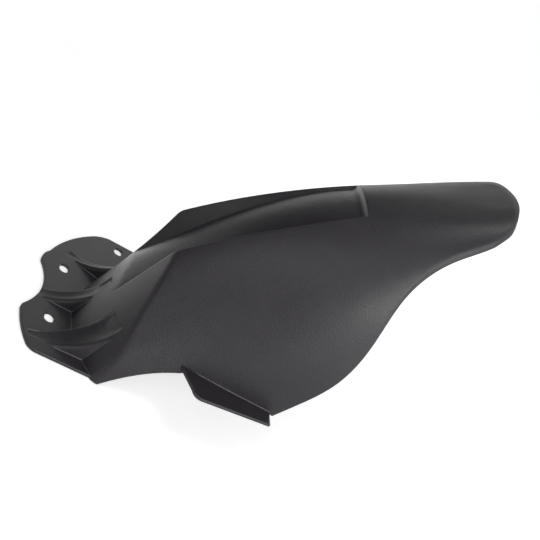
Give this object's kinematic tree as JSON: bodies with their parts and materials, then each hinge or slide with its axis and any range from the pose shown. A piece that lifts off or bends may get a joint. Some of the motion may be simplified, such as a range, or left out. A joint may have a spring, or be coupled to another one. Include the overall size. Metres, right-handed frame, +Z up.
{
  "type": "motorcycle rear mudguard",
  "caption": "Moulded hugger-style rear mudguard: an arched shell over the tyre with a sunk spine between ridges, a gusseted and slotted front flange, side skirts with flat feet and a rounded tail.",
  "frame": {"origin": "midway between the two front slots, at the level of the flange's upper face", "axes": "X rearward along the flange, Y across the wheel to the side with the third slot, Z up, square to the flange"},
  "size_m": [0.3897, 0.3105, 0.3763],
  "materials": {
    "shell": "fine-grained matte black"
  },
  "bodies": {
    "root": {"mudguard": "shell"}
  },
  "joints": []
}
